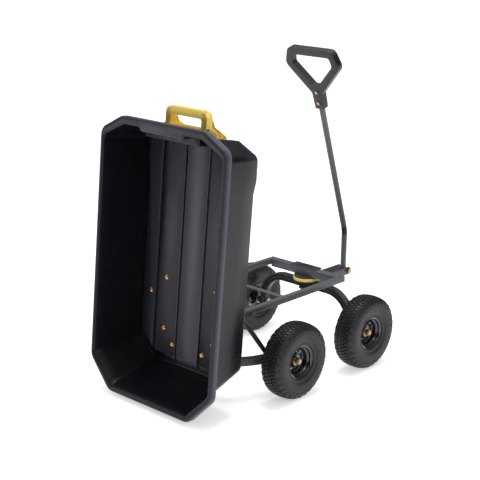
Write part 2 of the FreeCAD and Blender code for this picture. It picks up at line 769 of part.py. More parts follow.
def bed_brackets():
    """Steel plates under the floor of the tub, each with a hinge ear."""
    for side, sign in SIDES:
        outline = [(100, 102, 8), (100, 132, 8), (30, 203, 8), (-2, 203, 8), (-164, 84, 8),
                   (-164, 46, 8), (-96, 86, 20)]
        outline = [(x, sign * y, radius) for x, y, radius in outline]
        holes = [(bed_x(x), sign * y, dim("bed_bolt_radius")) for x, y in FLOOR_BOLTS]
        base = dim("bed_clearance") - dim("bracket_plate")
        plate = padded([outline] + holes, "dims.bracket_plate", at(0, 0, base))
        low = BRACKET_EAR_LOW if sign > 0 else -BRACKET_EAR_LOW - BRACKET_EAR
        placement, thickness = y_span(low, low + BRACKET_EAR)
        ear = [(-16, base + 1), (-11, -11, 10.5), (11, -11, 10.5), (5, base + 1)]
        pin = (0, 0, dim("hinge_pin_radius") + dim("running_gap"))
        node("bed_bracket_" + side, fuse(plate, padded([ear, pin], thickness, placement)), tipped())


def hinge_pins():
    """Shouldered bolts through the hinge ears; they belong to the chassis."""
    pins = []
    near = dim("frame_half")
    far = BRACKET_EAR_LOW + BRACKET_EAR + 0.4
    x, z = dim("hinge_x"), dim("hinge_z")
    for _, sign in SIDES:
        low, high = (near, far) if sign > 0 else (-far, -near)
        pins.append(bolt_through_y(x, z, low, high, dim("hinge_pin_radius"), True))
    node("hinge_pins", group(*pins))


def dome_bolt(placement, radius, length, nut_at):
    """Carriage bolt along +Z of the placement: domed head below zero, nut at a distance."""
    head = add("Cone", placement.multiply(at(z=-2.2)), Radius1=radius * 1.1, Radius2=radius * 2.3,
               Height=2.2)
    shank = rod(placement, radius, length)
    nut = hexagon(placement.multiply(at(z=nut_at)), radius * 1.65, length - nut_at - 1)
    return fuse(head, shank, nut)


def bed_bolts():
    """Carriage bolts from inside the tub through its floor and the hinge brackets."""
    floor_top = dim("bed_clearance") + dim("bed_wall")
    stack = dim("bed_wall") + dim("bracket_plate")
    bolts = []
    for x, y in FLOOR_BOLTS:
        for sign in (1, -1):
            down = at(bed_x(x), sign * y, floor_top, X_AXIS, 180)
            bolts.append(dome_bolt(down, dim("bed_bolt_radius"), stack + 8, stack))
    node("bed_bolts", group(*bolts), tipped())


RELEASE_PIN = (440.0, -113.0)
RELEASE_EAR_Y = 94.0
RELEASE_EAR = 4.0
HANDLE_SIDE_LOW = 70.0
HANDLE_SIDE_HIGH = 91.0


def release_bracket():
    """Steel bracket in the recess of the front wall with two ears for the release handle."""
    thickness = dim("bracket_plate")
    low_x = bed_x(RECESS_DEPTH)
    top, bottom = bed_z(-60), bed_z(-130)
    outline = [(top, -120, 6), (bottom, -120, 6), (bottom, 120, 6), (top, 120, 6)]
    holes = [(bed_z(WALL_BOLT_HEIGHT), y, SMALL_BOLT) for y in WALL_BOLTS]
    turn = FreeCAD.Rotation(Y_AXIS, -90)
    plate = padded([outline] + holes, thickness, FreeCAD.Placement(V(low_x + thickness, 0, 0), turn))
    pin_x, pin_z = bed_x(RELEASE_PIN[0]), bed_z(RELEASE_PIN[1])
    ears = []
    for _, sign in SIDES:
        ear = [(low_x + 1, pin_z - 16), (pin_x + 8, pin_z - 8, 7.5), (pin_x + 8, pin_z + 8, 7.5),
               (low_x + 1, pin_z + 24)]
        low = RELEASE_EAR_Y if sign > 0 else -RELEASE_EAR_Y - RELEASE_EAR
        placement, width = y_span(low, low + RELEASE_EAR)
        ears.append(padded([ear, (pin_x, pin_z, 4.0)], width, placement))
    node("release_bracket", fuse(plate, *ears), tipped())


def wall_bolts():
    """Carriage bolts through the front wall and the release bracket."""
    bolts = []
    stack = dim("bed_wall") + dim("bracket_plate")
    for y in WALL_BOLTS:
        inner_x = bed_x(RECESS_DEPTH) - dim("bed_wall")
        place = along_x(inner_x, y, bed_z(WALL_BOLT_HEIGHT))
        bolts.append(dome_bolt(place, SMALL_BOLT, stack + 6, stack))
    node("wall_bolts", group(*bolts), tipped())


def release_pin():
    """Rod through the ears of the release bracket."""
    far = RELEASE_EAR_Y + RELEASE_EAR
    x, z = bed_x(RELEASE_PIN[0]), bed_z(RELEASE_PIN[1])
    heads = [rod(along_y(x, y, z), 6.5, 3) for y in (-far - 3, far)]
    node("release_pin", fuse(rod(along_y(x, -far, z), 4.0, 2 * far), *heads), tipped())


# ---- release handle ----

def release_handle():
    """Moulded loop handle with two deep side plates and a cross web."""
    profile = [
        (503, -103, 8), (503, -118, 8), (473, -135, 14), (453, -145, 10), (445, -160, 10),
        (420, -199, 4), (411, -199, 3), (411, -178, 10), (430, -126, 20), (430, -103, 8)]
    profile = [(bed_x(x), bed_z(z), radius) for x, z, radius in profile]
    pin = (bed_x(RELEASE_PIN[0]), bed_z(RELEASE_PIN[1]), 4.0 + dim("running_gap"))
    sides = []
    for _, sign in SIDES:
        low = HANDLE_SIDE_LOW if sign > 0 else -HANDLE_SIDE_HIGH
        placement, thickness = y_span(low, low + HANDLE_SIDE_HIGH - HANDLE_SIDE_LOW)
        sides.append(padded([profile, pin], thickness, placement))
    bar_outline = [(503, -103, 8), (503, -131, 10), (477, -131, 10), (477, -103, 8)]
    bar_outline = [(bed_x(x), bed_z(z), radius) for x, z, radius in bar_outline]
    bar = padded([bar_outline], 2 * HANDLE_SIDE_LOW + 2, standing_y(HANDLE_SIDE_LOW + 1))
    web_outline = [(428, -138), (434, -138), (425, -176), (422.5, -181), (417, -181), (418, -176)]
    web_outline = [(bed_x(x), bed_z(z)) for x, z in web_outline]
    web = padded([web_outline], 2 * HANDLE_SIDE_LOW + 2, standing_y(HANDLE_SIDE_LOW + 1))
    low, high = bed_x(380), bed_x(503)
    face = HANDLE_SIDE_HIGH
    envelope = padded([[(low, -face), (high, -face, 20), (high, face, 20), (low, face)]], 200,
                      at(z=-40))
    rounded = doc.addObject("Part::MultiCommon", "Common")
    rounded.Shapes = [fuse(bar, web, *sides), envelope]
    node("release_handle", rounded, tipped())


def latch_hook():
    """Steel catch plate at the foot of the release handle."""
    outline = [
        (431.158, -150), (425, -176), (419.2, -190), (419.2, -204), (422.2, -204, 1),
        (422.2, -190.6, 1), (428.1, -176.7, 1), (434.1, -150.7)]
    outline = [(bed_x(x), bed_z(z)) + tuple(rest) for x, z, *rest in outline]
    node("latch_hook", padded([outline], 44, standing_y(22)), tipped())


def release_spring():
    """Torsion spring round the release pin, with one leg on the handle's web."""
    turns, coil_radius, wire, pitch = 5, 6.2, 0.9, 2.1
    x, z = bed_x(RELEASE_PIN[0]), bed_z(RELEASE_PIN[1])
    helix = Part.makeHelix(pitch, pitch * turns, coil_radius)
    section = Part.Wire(Part.makeCircle(wire, V(coil_radius, 0, 0), Y_AXIS))
    coil = Part.Wire(helix).makePipeShell([section], True, True)
    coil.Placement = along_y(x, -pitch * turns / 2, z)
    spring = doc.addObject("Part::Feature", "Spring")
    spring.Shape = coil
    node("release_spring", spring, tipped())


# ---- wheels ----

def wheel_placement(x, sign):
    """Placement of a wheel drawn about the Y axis with its outer face towards +Y."""
    turn = 0 if sign > 0 else 180
    return at(x, sign * dim("track_half"), dim("tyre_radius"), Z_AXIS, turn)


def tyre(name, place):
    """Pneumatic tyre as one hollow ring with beads on the rim."""
    radius, half, bead = dim("tyre_radius"), dim("tyre_half"), dim("bead_radius")
    wall = dim("tyre_wall")
    flange = dim("rim_half") - dim("rim_sheet") - 0.2
    seat = bead + 0.2
    outline = [
        (-flange, seat, 1), (-flange, bead + 16, 10), (-half, bead + 30, 16), (-half, radius - 22, 12),
        (-half + 12, radius, 14), (half - 12, radius, 14), (half, radius - 22, 12),
        (half, bead + 30, 16), (flange, bead + 16, 10), (flange, seat, 1),
        (flange - 10, seat, 1), (flange - 10, bead + 18, 8), (half - wall, bead + 34, 12),
        (half - wall, radius - 30, 10), (half - 22, radius - wall - 4, 12),
        (-half + 22, radius - wall - 4, 12), (-half + wall, radius - 30, 10),
        (-half + wall, bead + 34, 12), (-flange + 10, bead + 18, 8), (-flange + 10, seat, 1)]
    node("tyre_" + name, turned(outline), place)


def inner_tube(name, place):
    """Butyl inner tube with its valve stem through the rim."""
    ring_place = at(axis=X_AXIS, angle=90)
    section = add("Torus", ring_place, Radius1="dims.tyre_radius - 38", Radius2=24)
    air = add("Torus", ring_place, Radius1="dims.tyre_radius - 38", Radius2=22.2)
    lean = FreeCAD.Rotation(X_AXIS, -8)
    stem = rod(FreeCAD.Placement(V(0, 10, 38), lean), 3.2, 34)
    bore = rod(FreeCAD.Placement(V(0, 10, 37), lean), 1.4, 37)
    node("inner_tube_" + name, cut(fuse(section, stem), air, bore), place)


def rim(name, place):
    """Pressed steel rim: flanges, bead seats, drop centre and dished disc."""
    half, flange, bead = dim("rim_half"), dim("rim_flange_radius"), dim("bead_radius")
    skin = dim("rim_sheet")
    hub = dim("hub_radius")
    outline = [
        (-half, flange, 1), (-half, bead - skin, 3), (-half + 9.5, bead - skin, 3),
        (-half + 13.5, bead - 10, 3), (-5, bead - 10, 3), (-5, hub), (1, hub), (1, bead - 10, 3),
        (half - 13.5, bead - 10, 3), (half - 9.5, bead - skin, 3), (half, bead - skin, 3),
        (half, flange, 1), (half - skin, flange, 1), (half - skin, bead, 1), (half - 11, bead, 3),
        (half - 15, bead - 10 + skin, 3), (-half + 15, bead - 10 + skin, 3), (-half + 11, bead, 3),
        (-half + skin, bead, 1), (-half + skin, flange, 1)]
    body = turned(outline)
    count = 4
    drills = [rod(along_y(*ring_point(index, count, 34.0, -20)), "dims.rim_bolt_radius", 50)
              for index in range(count)]
    valve = rod(FreeCAD.Placement(V(0, 10, 36), FreeCAD.Rotation(X_AXIS, -8)), 3.8, 40)
    node("rim_" + name, cut(body, valve, *drills), place)


def ring_point(index, count, radius, y):
    """Return one of several points round the wheel's axis."""
    angle = 2 * math.pi * (index + 0.5) / count
    return radius * math.cos(angle), y, radius * math.sin(angle)


def rim_bolts(name, place):
    """Bolts that hold the two pressings of the rim together."""
    count = 4
    bolts = []
    for index in range(count):
        x, _, z = ring_point(index, count, dim("rim_bolt_circle"), 0)
        bolts.append(bolt_through_y(x, z, -5, 1, dim("rim_bolt_radius"), True))
    node("rim_bolts_" + name, group(*bolts), place)


def hub(name, place):
    """Hub tube with a ball bearing pressed into each end."""
    inboard, outboard = dim("hub_inboard"), dim("hub_outboard")
    length = "dims.hub_inboard + dims.hub_outboard"
    shell = rod(along_y(0, -inboard, 0), "dims.hub_radius", length)
    bore = rod(along_y(0, -inboard - 1, 0), "dims.bearing_radius", length + " + 2")
    solids = [cut(shell, bore)]
    for low in (-inboard, outboard - dim("bearing_width")):
        race = rod(along_y(0, low, 0), "dims.bearing_radius", "dims.bearing_width")
        eye = rod(along_y(0, low - 1, 0), "dims.axle_radius + dims.running_gap",
                  "dims.bearing_width + 2")
        solids.append(cut(race, eye))
    node("hub_" + name, group(*solids), place)


def wheels():
    """Four complete wheels."""
    for end, x in (("front", dim("wheel_base")), ("rear", 0.0)):
        for side, sign in SIDES:
            name = end + "_" + side
            place = wheel_placement(x, sign)
            tyre(name, place)
            inner_tube(name, place)
            rim(name, place)
            rim_bolts(name, place)
            hub(name, place)


def build():
    """Build every sub-part in order."""
    frame_rails()
    front_crossbar()
    chassis_braces()
    pivot_plate()
    latch_plate()
    hinge_ears()
    rear_axle_hoop()
    axle_struts()
    rear_axle_hardware()
    frame_bolts()
    kingpin_parts()
    front_axle_arch()
    kingpin_bush()
    steering_disc()
    tongue()
    front_axle_hardware()
    handle_tube()
    handle_pivot_sleeve()
    handle_grip()
    drill_tube_and_bolt_grip()
    bed_tub()
    bed_brackets()
    hinge_pins()
    bed_bolts()
    release_bracket()
    wall_bolts()
    release_pin()
    release_handle()
    latch_hook()
    release_spring()
    wheels()


def export():
    """Check every object and write one STEP file per node."""
    doc.recompute()
    for item in doc.Objects:
        bad = [state for state in item.State if state in ("Invalid", "Error")]
        if bad:
            raise RuntimeError("%s is %s" % (item.Label, ", ".join(bad)))
    os.makedirs("parts", exist_ok=True)
    for item in NODES:
        shape = item.Shape
        if shape.isNull() or not shape.isValid():
            raise RuntimeError("%s has no valid shape" % item.Label)
        shape.exportStep("parts/%s.step" % item.Label)
        print("%-24s %8.1f cm3  %d solid(s)" % (item.Label, shape.Volume / 1000, len(shape.Solids)))
    print(len(NODES), "nodes")


build()
export()
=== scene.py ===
# %% [markdown]
# # A garden dump cart
# The metal frame, the wheels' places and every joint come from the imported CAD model.  This
# lesson keeps that frame, gives each surface its finish, and remodels the pieces whose
# character lies in soft edges and moulded detail: tub, tyres, rims, grips and axle arches.

# %% Load the frame
import bpy
import bmesh
import json
import math
from mathutils import Matrix, Vector


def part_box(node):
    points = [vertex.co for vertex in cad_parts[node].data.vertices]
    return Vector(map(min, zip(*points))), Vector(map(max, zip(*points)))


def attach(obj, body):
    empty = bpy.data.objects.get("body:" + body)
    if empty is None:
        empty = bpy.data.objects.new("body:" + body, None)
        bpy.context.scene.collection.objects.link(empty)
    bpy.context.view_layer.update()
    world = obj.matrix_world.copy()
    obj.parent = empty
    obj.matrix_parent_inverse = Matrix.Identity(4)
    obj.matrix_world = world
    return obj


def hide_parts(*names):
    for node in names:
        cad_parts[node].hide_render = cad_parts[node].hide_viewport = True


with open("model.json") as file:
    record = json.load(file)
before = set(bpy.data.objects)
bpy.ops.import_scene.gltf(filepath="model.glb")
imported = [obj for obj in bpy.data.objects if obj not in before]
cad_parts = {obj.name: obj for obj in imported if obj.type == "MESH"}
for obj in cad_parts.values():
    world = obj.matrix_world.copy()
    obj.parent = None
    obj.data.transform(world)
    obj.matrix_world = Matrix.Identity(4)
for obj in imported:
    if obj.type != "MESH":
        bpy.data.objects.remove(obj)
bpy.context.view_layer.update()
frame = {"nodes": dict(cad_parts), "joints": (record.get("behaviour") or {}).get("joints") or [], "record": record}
JOINT = {joint["name"]: joint for joint in frame["joints"]}

# %% [markdown]
# Operators act on whatever is selected, so every step starts from nothing selected.  These
# helpers only switch modes, pick one object and finish a piece with its place in its mesh.

# %% Helpers for selecting, editing and finishing
MM = 0.001


def only(obj):
    if bpy.context.mode != "OBJECT":
        bpy.ops.object.mode_set(mode="OBJECT")
    bpy.ops.object.select_all(action="DESELECT")
    obj.select_set(True)
    bpy.context.view_layer.objects.active = obj
    return obj


def edit(obj, mode="VERT"):
    only(obj)
    bpy.ops.object.mode_set(mode="EDIT")
    bpy.ops.mesh.select_mode(type=mode)
    bpy.ops.mesh.select_all(action="SELECT")


def pick(obj, kind, test):
    """Select the faces, edges or verts of the piece in edit mode that pass a test."""
    cage = bmesh.from_edit_mesh(obj.data)
    for item in list(cage.verts) + list(cage.edges) + list(cage.faces):
        item.select = False
    cage.select_mode = {kind[:-1].upper() if kind != "faces" else "FACE"}
    chosen = [item for item in getattr(cage, kind) if test(item)]
    for item in chosen:
        item.select = True
    cage.select_flush_mode()
    bmesh.update_edit_mesh(obj.data)
    return len(chosen)


def place(obj, matrix):
    """Put a piece in its place and write the place into its mesh."""
    only(obj)
    obj.matrix_world = matrix @ obj.matrix_world
    bpy.ops.object.transform_apply(location=True, rotation=True, scale=True)
    return obj


def copied(obj, name):
    twin = obj.copy()
    twin.data = obj.data.copy()
    twin.name = name
    bpy.context.collection.objects.link(twin)
    return twin


def joined(name, pieces):
    only(pieces[0])
    for piece in pieces:
        piece.select_set(True)
    bpy.ops.object.join()
    pieces[0].name = name
    pieces[0].data.name = name
    return pieces[0]


def smooth(obj, degrees=35):
    only(obj)
    bpy.ops.object.shade_smooth_by_angle(angle=math.radians(degrees))
    return obj


def modifier(obj, kind, **settings):
    only(obj)
    made = obj.modifiers.new(kind.title(), kind)
    for name, value in settings.items():
        setattr(made, name, value)
    bpy.ops.object.modifier_apply(modifier=made.name)


# %% [markdown]
# Most pieces here start as a drawn outline, in millimetres: a row of points, some with a
# corner radius.  A vertex is extruded from point to point, as one would by hand, and then
# the outline is spun round an axis or filled and extruded into a plate.

# %% Outlines, turned pieces and plates
def rounded(points, steps=6):
    """Return the points of an outline with its corners rounded; a point is x, y, radius."""
    smooth_line = []
    for index, point in enumerate(points):
        here = Vector(point[:2])
        radius = point[2] if len(point) > 2 else 0
        if not radius:
            smooth_line.append(tuple(here))
            continue
        before = (Vector(points[index - 1][:2]) - here).normalized()
        after = (Vector(points[(index + 1) % len(points)][:2]) - here).normalized()
        half = before.angle(after) / 2
        centre = here + (before + after).normalized() * radius / math.sin(half)
        start = here + before * radius / math.tan(half) - centre
        end = here + after * radius / math.tan(half) - centre
        turn = start.angle_signed(end)
        for step in range(steps + 1):
            spoke = start.copy()
            spoke.rotate(Matrix.Rotation(-turn * step / steps, 2))
            smooth_line.append(tuple(centre + spoke))
    return smooth_line


def drawn(name, points, closed=True, flip=False):
    """Draw an outline in the XY plane (or the ZY plane for turning) by extruding a vertex."""
    spots = [Vector((x, y, 0)) * MM if not flip else Vector((0, x, y)) * MM for x, y in points]
    spots = [spot for index, spot in enumerate(spots) if (spot - spots[index - 1]).length > 1e-6]
    bpy.ops.object.select_all(action="DESELECT")
    bpy.ops.mesh.primitive_plane_add(size=0.001)
    obj = bpy.context.object
    obj.name = name
    obj.data.name = name
    edit(obj)
    bpy.ops.mesh.merge(type="CENTER")
    bpy.ops.transform.translate(value=spots[0])
    for here, there in zip(spots, spots[1:]):
        bpy.ops.mesh.extrude_region_move(TRANSFORM_OT_translate={"value": there - here})
    if closed:
        bpy.ops.mesh.select_all(action="DESELECT")
        ends = (spots[0], spots[-1])
        pick(obj, "verts", lambda v: min((v.co - end).length for end in ends) < 1e-6)
        bpy.ops.mesh.edge_face_add()
    bpy.ops.object.mode_set(mode="OBJECT")
    return obj


def turned(name, points, steps=64, closed=True):
    """Spin an outline of (offset along Y, radius) round the Y axis."""
    obj = drawn(name, points, closed, flip=True)
    edit(obj)
    bpy.ops.mesh.spin(steps=steps, angle=2 * math.pi, center=(0, 0, 0), axis=(0, 1, 0))
    bpy.ops.mesh.select_all(action="SELECT")
    bpy.ops.mesh.remove_doubles(threshold=1e-6)
    bpy.ops.mesh.normals_make_consistent(inside=False)
    if bmesh.from_edit_mesh(obj.data).calc_volume(signed=True) < 0:
        bpy.ops.mesh.flip_normals()
    bpy.ops.object.mode_set(mode="OBJECT")
    return obj


def plate(name, loops, thickness, bevel=0.8, segments=2, carve=None):
    """Fill the loops, extrude them upwards, carve the two faces and round the edges."""
    parts = [drawn(name, loop) for loop in loops]
    obj = joined(name, parts) if len(parts) > 1 else parts[0]
    edit(obj)
    if len(parts) > 1:
        bpy.ops.mesh.fill(use_beauty=True)
    else:
        bpy.ops.mesh.edge_face_add()
    bpy.ops.mesh.select_all(action="SELECT")
    up = Vector((0, 0, thickness * MM))
    bpy.ops.mesh.extrude_region_move(TRANSFORM_OT_translate={"value": up})
    bpy.ops.mesh.select_all(action="SELECT")
    bpy.ops.mesh.normals_make_consistent(inside=False)
    for side in (1, -1) if carve else ():
        height = thickness * MM if side > 0 else 0.0
        pick(obj, "faces", lambda f: abs(f.calc_center_median().z - height) < 1e-5
             and abs(f.normal.z) > 0.9)
        for margin, depth in carve:
            bpy.ops.mesh.inset(thickness=margin * MM, depth=depth * MM, use_even_offset=True)
    if bevel:
        bpy.ops.mesh.select_mode(type="EDGE")
        bpy.ops.mesh.select_all(action="DESELECT")
        bpy.ops.mesh.edges_select_sharp(sharpness=math.radians(40))
        bpy.ops.mesh.bevel(offset=bevel * MM, segments=segments, affect="EDGES", clamp_overlap=True)
    bpy.ops.object.mode_set(mode="OBJECT")
    return smooth(obj)


def standing_x(x):
    """Outline x, y become Y, Z and the plate grows towards +X."""
    return Matrix(((0, 0, 1, x * MM), (1, 0, 0, 0), (0, 1, 0, 0), (0, 0, 0, 1)))


def standing_y(y):
    """Outline x, y become X, Z and the plate grows towards -Y."""
    return Matrix(((1, 0, 0, 0), (0, 0, -1, y * MM), (0, 1, 0, 0), (0, 0, 0, 1)))


# %% [markdown]
# ## Finishes
# A finish starts from what the real surface is and how it was made.  Colours are written as
# sRGB hex and turned to the linear values that the shader works in.

# %% One node adder and one colour function
def linear(hex_code):
    channels = [int(hex_code[i:i + 2], 16) / 255 for i in (1, 3, 5)]
    return [c / 12.92 if c < 0.04045 else ((c + 0.055) / 1.055) ** 2.4 for c in channels] + [1.0]


def add_node(tree, kind, links=None, **settings):
    made = tree.nodes.new(kind)
    for name, value in settings.items():
        setattr(made, name, value)
    for socket, value in (links or {}).items():
        if isinstance(value, bpy.types.NodeSocket):
            tree.links.new(value, made.inputs[socket])
        else:
            made.inputs[socket].default_value = value
    return made


def surface(name, colours, patch_mm, grain_mm, grain_height_mm, roughness, edge_highlight=None, **principled):
    """A finish with slow colour patches, fine grain in the bump and uneven gloss."""
    material = bpy.data.materials.new(name)
    material.use_nodes = True
    tree = material.node_tree
    tree.nodes.clear()
    where = add_node(tree, "ShaderNodeTexCoord").outputs["Object"]
    patches = add_node(tree, "ShaderNodeTexNoise",
                       {"Vector": where, "Scale": 1000 / patch_mm, "Detail": 4.0, "Roughness": 0.6})
    grain = add_node(tree, "ShaderNodeTexNoise",
                     {"Vector": where, "Scale": 1000 / grain_mm, "Detail": 2.0, "Roughness": 0.5})
    tint = add_node(tree, "ShaderNodeMix", {"Factor": patches.outputs["Fac"]}, data_type="RGBA")
    tint_out = [s for s in tint.outputs if s.type == "RGBA"][0]
    for socket, value in zip([s for s in tint.inputs if s.type == "RGBA"], colours):
        socket.default_value = linear(value)
    # Painted highlight: convex edges, found by pointiness, are mixed towards a lighter colour that stands in for
    # light caught on the edges.
    if edge_highlight:
        edge = add_node(tree, "ShaderNodeNewGeometry").outputs["Pointiness"]
        ramp = add_node(tree, "ShaderNodeMapRange", {"Value": edge, "From Min": 0.52, "From Max": 0.6})
        highlighted = add_node(tree, "ShaderNodeMix", data_type="RGBA")
        tree.links.new(ramp.outputs["Result"], highlighted.inputs["Factor"])
        sockets = [s for s in highlighted.inputs if s.type == "RGBA"]
        tree.links.new(tint_out, sockets[0])
        sockets[1].default_value = linear(edge_highlight)
        tint_out = [s for s in highlighted.outputs if s.type == "RGBA"][0]
    gloss = add_node(tree, "ShaderNodeMapRange", {"Value": patches.outputs["Fac"], "From Min": 0.3,
                     "From Max": 0.7, "To Min": roughness[0], "To Max": roughness[1]})
    bump = add_node(tree, "ShaderNodeBump", {"Height": grain.outputs["Fac"], "Strength": 1.0,
                                             "Distance": grain_height_mm * MM})
    settings = {"Base Color": tint_out, "Roughness": gloss.outputs["Result"],
                "Normal": bump.outputs["Normal"]}
    settings.update({key.replace("_", " "): value for key, value in principled.items()})
    shader = add_node(tree, "ShaderNodeBsdfPrincipled", settings)
    add_node(tree, "ShaderNodeOutputMaterial", {"Surface": shader.outputs["BSDF"]})
    return material


# %% [markdown]
# The cart has eleven finishes.  Powder coat is a baked plastic skin with a faint orange peel;
# the tub is moulded polyethylene, waxy and softly grained; the tyres are matt carbon-black
# rubber; rims are gloss enamel; bolts are zinc plated with a yellow passivate.

# %% The finishes
# The last, lighter colour given to a finish is a painted highlight on its sharp edges.
powder_coat = surface("powder coated steel", ("#1b1d20", "#242629"), 60, 1.4, 0.05, (0.26, 0.36),
                      edge_highlight="#6c7074", Specular_IOR_Level=0.22)
grey_paint = surface("grey painted steel", ("#26272a", "#303235"), 40, 1.4, 0.05, (0.24, 0.34),
                     edge_highlight="#6a6c70")
rim_enamel = surface("gloss enamel on pressed steel", ("#08080a", "#0e0e10"), 50, 2.2, 0.02,
                     (0.10, 0.18), Coat_Weight=0.5, Coat_Roughness=0.06)
tyre_rubber = surface("tyre rubber", ("#111112", "#191919"), 18, 1.1, 0.08, (0.36, 0.5),
                      edge_highlight="#232324", Specular_IOR_Level=0.36)
polyethylene = surface("moulded polyethylene", ("#0f0f14", "#16161c"), 120, 1.6, 0.04, (0.22, 0.30),
                       edge_highlight="#5c5d69", Specular_IOR_Level=0.17)
black_nylon = surface("black nylon", ("#08080a", "#0e0e11"), 30, 1.2, 0.05, (0.3, 0.4),
                      edge_highlight="#2f2f33")
yellow_nylon = surface("yellow nylon", ("#ffce2e", "#ffe05c"), 45, 1.3, 0.05, (0.34, 0.46),
                       edge_highlight="#fff0a0", Subsurface_Weight=0.08, Subsurface_Scale=0.004)
yellow_zinc = surface("yellow zinc plate", ("#96704a", "#c9a67c"), 6, 0.8, 0.02, (0.2, 0.32),
                      Metallic=1.0)
bright_zinc = surface("bright zinc plate", ("#7d7f82", "#9b9da0"), 8, 0.9, 0.02, (0.24, 0.36),
                      Metallic=1.0)
bearing_steel = surface("machined bearing steel", ("#77787a", "#909194"), 8, 0.8, 0.02, (0.2, 0.3),
                        Metallic=1.0)
butyl = surface("butyl rubber", ("#0f0f10", "#151517"), 20, 1.0, 0.04, (0.45, 0.55))
FINISH = {"frame_paint": powder_coat, "tongue_paint": grey_paint, "rim_paint": rim_enamel,
          "zinc_plate": yellow_zinc, "bolt_steel": bright_zinc, "hub_steel": bearing_steel,
          "tyre_rubber": tyre_rubber, "tube_rubber": butyl, "tub_plastic": polyethylene,
          "grip_plastic": black_nylon, "yellow_plastic": yellow_nylon}
SLOT_OF = {entry["node"]: entry["material_slot"] for entry in frame["record"]["subparts"]}


def dress(obj, slot):
    obj.data.materials.clear()
    obj.data.materials.append(FINISH[slot])
    return obj


for name, obj in frame["nodes"].items():
    for index in range(len(obj.material_slots)):
        obj.material_slots[index].material = FINISH[SLOT_OF[name]]
print(len(FINISH), "finishes on", len(frame["nodes"]), "nodes")


def settle(piece, body, slot, *nodes):
    """Dress a new piece, let it ride on its body and stand for its CAD nodes."""
    dress(piece, slot)
    if nodes:
        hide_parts(*nodes)
    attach(piece, body)
    size = [round(1000 * (max(v.co[i] for v in piece.data.vertices)
                          - min(v.co[i] for v in piece.data.vertices))) for i in range(3)]
    print(piece.name, "measures", size, "mm and rides on", body)
    return piece


# %% [markdown]
# ## Tyre
# A knobbly pneumatic tyre: a fat, smooth carcass with rubber lugs vulcanised on the crown and
# wrapped over the shoulders.  The carcass is a turned outline.  One pitch of lugs is shaped
# from cubes and spun round the axle as copies, because the mould repeats it too.

# %% Carcass and lugs
LUG_PITCHES = 30
carcass_line = rounded([
    (29, 52.6), (30.5, 56.5, 2), (36.5, 60, 3), (37.2, 64.5, 2), (36.6, 67, 1), (41, 79, 12),
    (42.4, 96, 14), (40, 112, 14), (30, 124, 16), (0, 127, 40), (-30, 124, 16), (-40, 112, 14),
    (-42.4, 96, 14), (-41, 79, 12), (-36.6, 67, 1), (-37.2, 64.5, 2), (-36.5, 60, 3),
    (-30.5, 56.5, 2), (-29, 52.6), (-19, 52.6), (-22, 80, 10), (0, 112, 20), (22, 80, 10),
    (19, 52.6)])
tyre = turned("tyre", carcass_line, steps=96)


def lug(corners, low, high, taper=0.92):
    """A rubber block: a cube whose corners go to four places on the tyre, (y, radius, angle)."""
    bpy.ops.object.select_all(action="DESELECT")
    bpy.ops.mesh.primitive_cube_add(size=2)
    block = bpy.context.object
    edit(block)
    cage = bmesh.from_edit_mesh(block.data)
    middle_y = sum(c[0] for c in corners) / 4
    middle_a = sum(c[2] for c in corners) / 4
    for vert in cage.verts:
        spot = corners[(0 if vert.co.x < 0 else 1) if vert.co.y < 0 else (3 if vert.co.x < 0 else 2)]
        y, radius, angle = spot
        lift = low
        if vert.co.z > 0:
            y = middle_y + (y - middle_y) * taper
            angle = middle_a + (angle - middle_a) * taper
            lift = high
        lean = max(0.0, (abs(y) - 26) / 16) * math.radians(62)
        out = radius + lift * math.cos(lean)
        y += math.copysign(lift * math.sin(lean), y)
        turn = math.radians(angle)
        vert.co = Vector((out * math.sin(turn), y, out * math.cos(turn))) * MM
    bmesh.update_edit_mesh(block.data)
    bpy.ops.mesh.select_all(action="SELECT")
    bpy.ops.mesh.normals_make_consistent(inside=False)
    bpy.ops.mesh.bevel(offset=0.8 * MM, segments=1, affect="EDGES")
    bpy.ops.object.mode_set(mode="OBJECT")
    return block


PITCH = 360 / LUG_PITCHES
lugs = []
for side in (1, -1):
    shift = 0 if side > 0 else PITCH / 4
    for step in (0, PITCH / 2):
        turn = shift + step
        lugs.append(lug([(side * 0.6, 126.6, turn - 2.8), (side * 13, 126.2, turn - 1.9),
                         (side * 13, 126.2, turn + 2.5), (side * 0.6, 126.6, turn + 1.6)], -2, 3.2))
        lugs.append(lug([(side * 14.8, 126, turn + 0.4), (side * 28, 123.5, turn + 1.0),
                         (side * 28, 123.5, turn + 5.4), (side * 14.8, 126, turn + 4.8)], -2, 3.2))
    lugs.append(lug([(side * 29.6, 122.2, shift - 3.4), (side * 40.2, 105, shift - 2.6),
                     (side * 40.2, 105, shift + 3.2), (side * 29.6, 122.2, shift + 4.0)], -2, 3.8))
    lugs.append(lug([(side * 29.6, 122.2, shift + 5.6), (side * 38.5, 112, shift + 5.4),
                     (side * 38.5, 112, shift + 7.4), (side * 29.6, 122.2, shift + 7.2)], -2, 3.0))
tread = joined("tread", lugs)
edit(tread)
bpy.ops.mesh.spin(steps=LUG_PITCHES - 1, angle=2 * math.pi * (LUG_PITCHES - 1) / LUG_PITCHES,
                  center=(0, 0, 0), axis=(0, 1, 0), dupli=True)
bpy.ops.object.mode_set(mode="OBJECT")
tyre = smooth(joined("tyre", [tyre, tread]), 30)
print("tyre:", len(tyre.data.polygons), "faces,", LUG_PITCHES, "pitches of lugs")

# %% [markdown]
# ## Rim
# Two steel pressings bolted back to back.  Seen from outside: a rolled flange, the bead seat,
# a deep well and, at its bottom, the dished disc round the hub.

